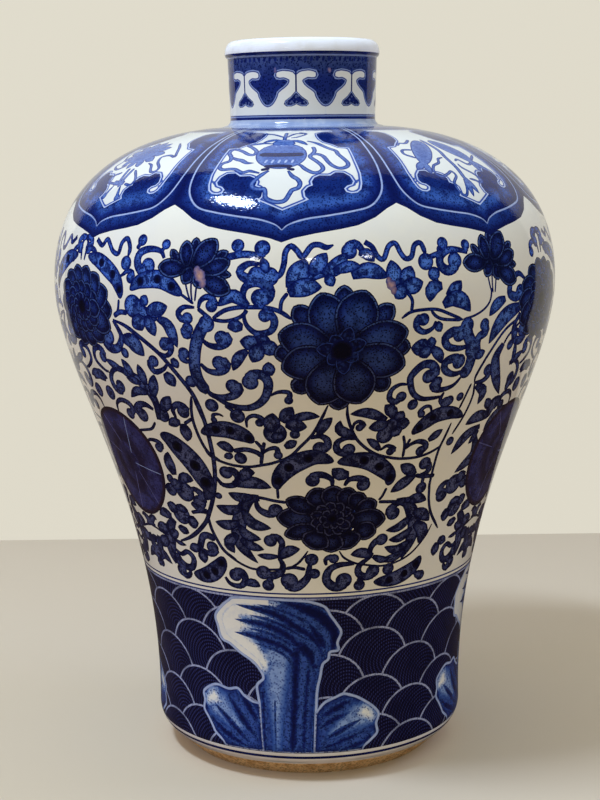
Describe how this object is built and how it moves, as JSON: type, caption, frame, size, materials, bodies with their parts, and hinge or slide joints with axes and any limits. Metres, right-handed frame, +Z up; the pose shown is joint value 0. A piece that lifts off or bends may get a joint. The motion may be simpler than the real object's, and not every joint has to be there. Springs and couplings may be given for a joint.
{
  "type": "meiping vase",
  "caption": "Tall porcelain vase with a narrow lipped neck, full rounded shoulder and tapering body on a bevelled foot ring, for flower stems.",
  "frame": {"origin": "centre of the foot ring, on the surface the vase stands on", "axes": "+Z up the axis of the vase, the front of the decoration faces -Y"},
  "size_m": [0.24, 0.24, 0.34],
  "materials": {
    "glazed_porcelain": "glossy",
    "foot_porcelain": "glossy",
    "slip": "matte"
  },
  "bodies": {
    "root": {"foot_base": "foot_porcelain", "foot_lute": "slip", "skirt_section": "glazed_porcelain", "skirt_lute": "slip", "belly_section": "glazed_porcelain", "belly_lute": "slip", "shoulder_section": "glazed_porcelain", "shoulder_lute": "slip", "crown_section": "glazed_porcelain", "neck_lute": "slip", "neck_collar": "glazed_porcelain"}
  },
  "joints": []
}
